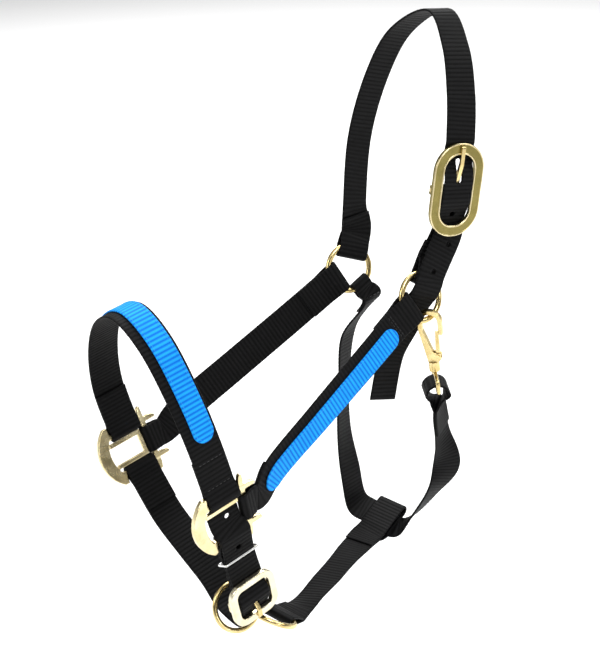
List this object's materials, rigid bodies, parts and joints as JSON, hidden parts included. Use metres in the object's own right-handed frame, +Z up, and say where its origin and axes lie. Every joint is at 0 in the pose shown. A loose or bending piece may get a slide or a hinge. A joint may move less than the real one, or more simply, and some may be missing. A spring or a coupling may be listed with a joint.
{
  "type": "horse halter",
  "caption": "Webbing head halter for a horse: noseband and cheeks with coloured overlays, buckled crown and chin, cast squares, rings and a throat snap.",
  "frame": {"origin": "underside of the crown strap where it lies on the animal's poll, from which the halter hangs", "axes": "+X forward towards the nose, +Y towards the animal's near (left) side where the buckles and snap are, +Z up"},
  "size_m": [0.3081, 0.1556, 0.4328],
  "materials": {
    "webbing": "matt black ribbed webbing",
    "overlay": "bright blue ribbed ribbon",
    "brass": "polished pale brass plating",
    "antique_brass": "duller sand-cast brass",
    "nickel_wire": "bright nickel-plated wire"
  },
  "bodies": {
    "halter": {"crown_strap": "webbing", "crown_billet": "webbing", "noseband": "webbing", "noseband_overlay": "overlay", "near_cheek_strap": "webbing", "near_cheek_overlay": "overlay", "far_cheek_strap": "webbing", "far_cheek_overlay": "overlay", "chin_strap": "webbing", "chin_billet": "webbing", "throat_strap": "webbing", "throat_connector": "webbing", "near_square": "brass", "far_square": "brass", "crown_buckle": "antique_brass", "crown_buckle_bar": "brass", "chin_buckle": "brass", "chin_buckle_bar": "brass", "snap_eye": "brass"},
    "crown_tongue": {"crown_buckle_tongue": "brass"},
    "chin_tongue": {"chin_buckle_tongue": "brass"},
    "keeper": {"chin_keeper": "nickel_wire"},
    "near_ring": {"near_cheek_ring": "brass"},
    "far_ring": {"far_cheek_ring": "brass"},
    "chin_ring": {"lead_ring": "brass"},
    "linking_ring": {"link_ring": "brass"},
    "snap": {"snap_hook": "brass", "snap_gate_rivet": "brass", "snap_gate_spring": "nickel_wire"},
    "gate": {"snap_gate": "brass"}
  },
  "joints": [
    {"name": "crown_tongue_pivot", "type": "hinge", "parent": "halter", "child": "crown_tongue", "pos_m": [0.02388, 0.04269, -0.12342], "axis": [-0.9671, 0.2233, -0.1219], "range_deg": [0, 2.5]},
    {"name": "chin_tongue_pivot", "type": "hinge", "parent": "halter", "child": "chin_tongue", "pos_m": [0.24919, 0.0684, -0.36908], "axis": [0.9869, 0, -0.1616], "range_deg": [0, 7]},
    {"name": "keeper_slide", "type": "slide", "parent": "halter", "child": "keeper", "axis": [0.1427, -0.4695, 0.8713], "range_m": [-0.004, 0.004]},
    {"name": "near_ring_spin", "type": "hinge", "parent": "halter", "child": "near_ring", "pos_m": [0.056, 0.0415, -0.203], "axis": [0.0515, 0.9496, 0.3093], "continuous": true},
    {"name": "far_ring_spin", "type": "hinge", "parent": "halter", "child": "far_ring", "pos_m": [0.056, -0.0415, -0.203], "axis": [0.2326, 0.9269, 0.2944], "continuous": true},
    {"name": "chin_ring_spin", "type": "hinge", "parent": "halter", "child": "chin_ring", "pos_m": [0.24966, 0.05022, -0.38973], "axis": [0.091, 0.8696, 0.4853], "continuous": true},
    {"name": "linking_ring_spin", "type": "hinge", "parent": "halter", "child": "linking_ring", "pos_m": [0.22563, 0.06123, -0.40495], "axis": [-0.5531, -0.0576, 0.8311], "continuous": true},
    {"name": "snap_swivel", "type": "hinge", "parent": "halter", "child": "snap", "pos_m": [0.04462, 0.04717, -0.26705], "axis": [0.1502, 0.0009, 0.9887], "range_deg": [-3, 4]},
    {"name": "gate_pivot", "type": "hinge", "parent": "snap", "child": "gate", "pos_m": [0.04463, 0.05081, -0.25289], "axis": [0.8537, 0.5042, -0.1302], "range_deg": [0, 18], "stiffness_Nm_per_rad": 0.05}
  ]
}
